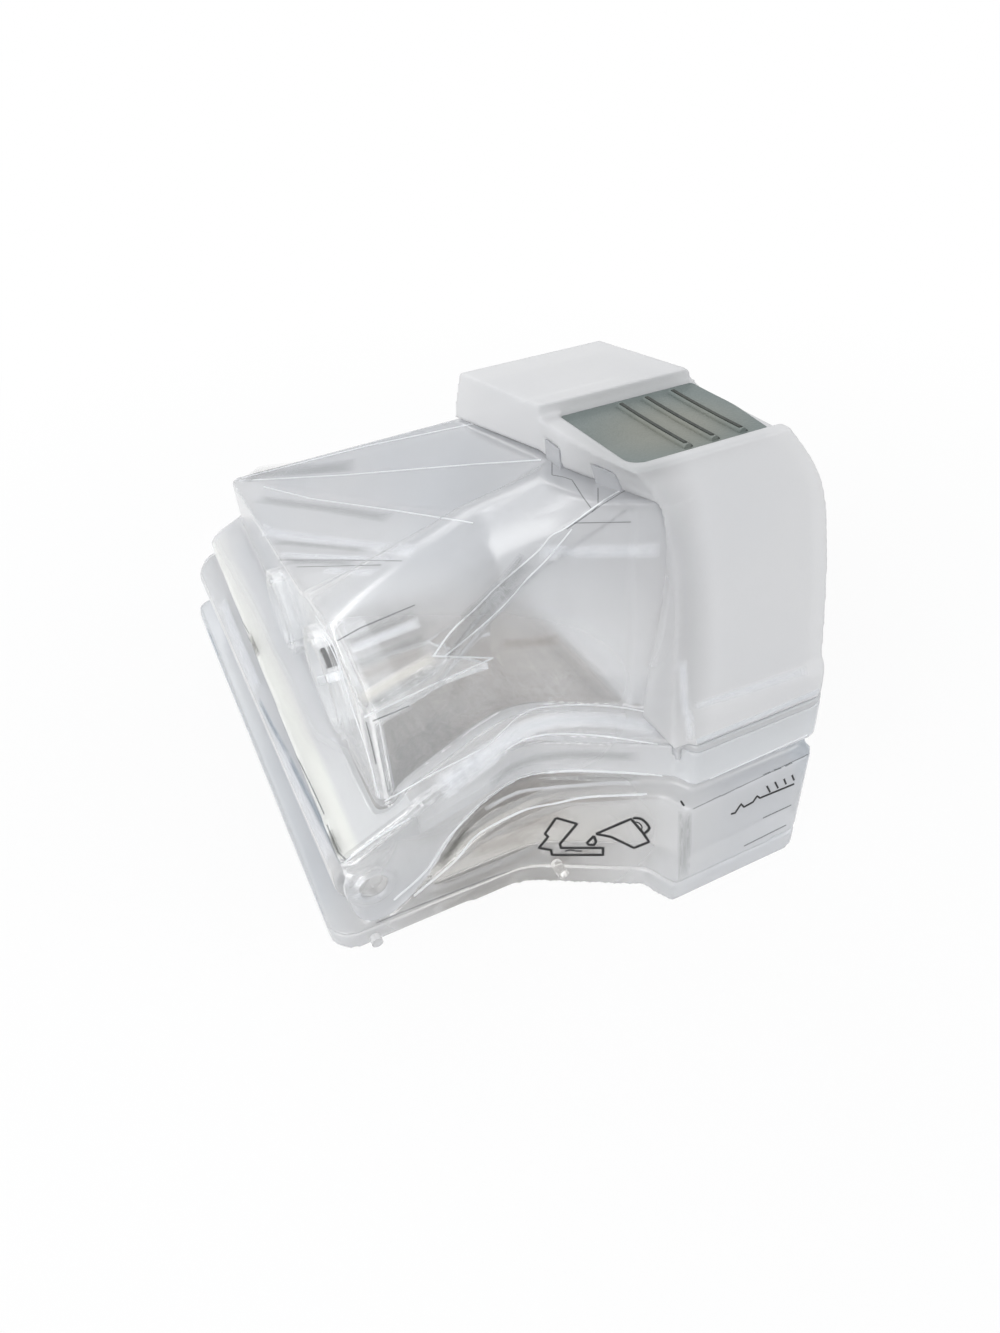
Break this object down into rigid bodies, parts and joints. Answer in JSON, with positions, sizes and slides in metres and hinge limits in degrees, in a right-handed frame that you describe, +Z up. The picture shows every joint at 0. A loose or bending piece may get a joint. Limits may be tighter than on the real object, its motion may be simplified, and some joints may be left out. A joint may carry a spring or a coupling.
{
  "type": "humidifier water tub",
  "caption": "Clear humidifier water tub for a bedside breathing machine, with a metal heating floor, a hinged hip-roofed lid, a frosted front cover and a thumb grip.",
  "frame": {"origin": "on the surface the tub stands on, under the middle of its overall box", "axes": "+X from the hinge side to the grip end, +Y from the wave-shaped near side to the straight far side, +Z up"},
  "size_m": [0.0965, 0.149, 0.0832],
  "materials": {
    "clear": "clear, polished",
    "frosted": "frosted",
    "grip": "soft, matte",
    "seal": "soft, satin",
    "plate": "brushed",
    "soft_clear": "soft, translucent"
  },
  "bodies": {
    "base": {"base_tub": "clear", "bottom_frame": "clear", "heater_plate": "plate", "plate_gasket": "soft_clear", "hinge_pins": "clear", "locating_pips": "clear"},
    "lid": {"lid_shell": "clear", "lid_skirt": "clear", "lid_seal": "soft_clear", "hinge_seal_strip": "seal", "lid_cover": "frosted", "grip_pad": "grip", "cover_clips": "clear", "inlet_port_ring": "clear", "outlet_port_ring": "clear", "inlet_tube": "clear", "outlet_tube": "clear", "port_seals": "soft_clear", "air_baffle": "clear"},
    "latch": {"latch_tab": "clear"}
  },
  "joints": [
    {"name": "lid_hinge", "type": "hinge", "parent": "base", "child": "lid", "pos_m": [-0.03925, 0.0045, 0.0165], "axis": [0, -1, 0], "range_deg": [0, 95]},
    {"name": "latch_flex", "type": "hinge", "parent": "lid", "child": "latch", "pos_m": [0.04635, -0.0425, 0.03], "axis": [0, -1, 0], "range_deg": [0, 8], "stiffness_Nm_per_rad": 0.02}
  ]
}
